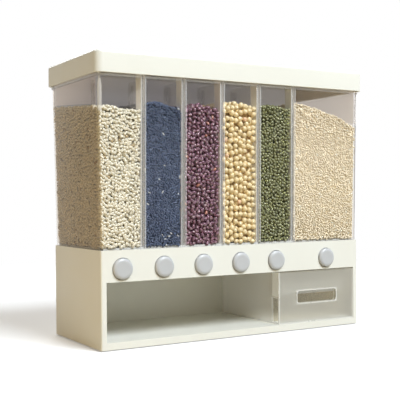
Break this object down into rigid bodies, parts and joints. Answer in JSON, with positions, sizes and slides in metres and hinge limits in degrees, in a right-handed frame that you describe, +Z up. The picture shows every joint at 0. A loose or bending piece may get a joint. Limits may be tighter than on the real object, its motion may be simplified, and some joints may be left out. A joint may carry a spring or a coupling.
{
  "type": "grain dispenser",
  "caption": "Counter-top dry-grain dispenser: clear hopper in compartments on an ivory base, push buttons that open slide gates, open shelf and a loose receiving box.",
  "frame": {"origin": "on the table under the middle of the base, at the feet's lower faces", "axes": "+X to the right seen from the front, +Y to the back, +Z up"},
  "size_m": [0.3526, 0.1416, 0.307],
  "materials": {
    "ivory_plastic": "satin moulded",
    "white_plastic": "satin moulded",
    "clear_plastic": "clear polished",
    "frosted_plastic": "translucent frosted",
    "grey_plastic": "satin moulded",
    "rubber": "matte",
    "seal_rubber": "soft matte"
  },
  "bodies": {
    "base": {"base_shell": "ivory_plastic", "feet": "rubber", "gate_tray": "ivory_plastic", "funnel_plate": "white_plastic", "hopper_shell": "clear_plastic", "divider_1": "clear_plastic", "divider_2": "clear_plastic", "divider_3": "clear_plastic", "divider_4": "clear_plastic", "divider_5": "clear_plastic", "return_spring_1": "white_plastic", "return_spring_2": "white_plastic", "return_spring_3": "white_plastic", "return_spring_4": "white_plastic", "return_spring_5": "white_plastic", "return_spring_6": "white_plastic"},
    "lid": {"lid": "ivory_plastic", "lid_seal": "seal_rubber"},
    "receiving_box": {"receiving_box": "frosted_plastic"},
    "button_1": {"push_button_1": "grey_plastic", "slide_gate_1": "white_plastic"},
    "button_2": {"push_button_2": "grey_plastic", "slide_gate_2": "white_plastic"},
    "button_3": {"push_button_3": "grey_plastic", "slide_gate_3": "white_plastic"},
    "button_4": {"push_button_4": "grey_plastic", "slide_gate_4": "white_plastic"},
    "button_5": {"push_button_5": "grey_plastic", "slide_gate_5": "white_plastic"},
    "button_6": {"push_button_6": "grey_plastic", "slide_gate_6": "white_plastic"}
  },
  "joints": [
    {"name": "lid_lift", "type": "slide", "parent": "base", "child": "lid", "axis": [0, 0, 1], "range_m": [0, 0.06]},
    {"name": "box_pull", "type": "slide", "parent": "base", "child": "receiving_box", "axis": [0, -1, 0], "range_m": [0, 0.128]},
    {"name": "button_1_press", "type": "slide", "parent": "base", "child": "button_1", "axis": [0, 1, 0], "range_m": [0, 0.009], "stiffness_N_per_m": 160, "springref_m": -0.012, "deforming": ["return_spring_1"]},
    {"name": "button_2_press", "type": "slide", "parent": "base", "child": "button_2", "axis": [0, 1, 0], "range_m": [0, 0.009], "stiffness_N_per_m": 160, "springref_m": -0.012, "deforming": ["return_spring_2"]},
    {"name": "button_3_press", "type": "slide", "parent": "base", "child": "button_3", "axis": [0, 1, 0], "range_m": [0, 0.009], "stiffness_N_per_m": 160, "springref_m": -0.012, "deforming": ["return_spring_3"]},
    {"name": "button_4_press", "type": "slide", "parent": "base", "child": "button_4", "axis": [0, 1, 0], "range_m": [0, 0.009], "stiffness_N_per_m": 160, "springref_m": -0.012, "deforming": ["return_spring_4"]},
    {"name": "button_5_press", "type": "slide", "parent": "base", "child": "button_5", "axis": [0, 1, 0], "range_m": [0, 0.009], "stiffness_N_per_m": 160, "springref_m": -0.012, "deforming": ["return_spring_5"]},
    {"name": "button_6_press", "type": "slide", "parent": "base", "child": "button_6", "axis": [0, 1, 0], "range_m": [0, 0.009], "stiffness_N_per_m": 160, "springref_m": -0.012, "deforming": ["return_spring_6"]}
  ]
}
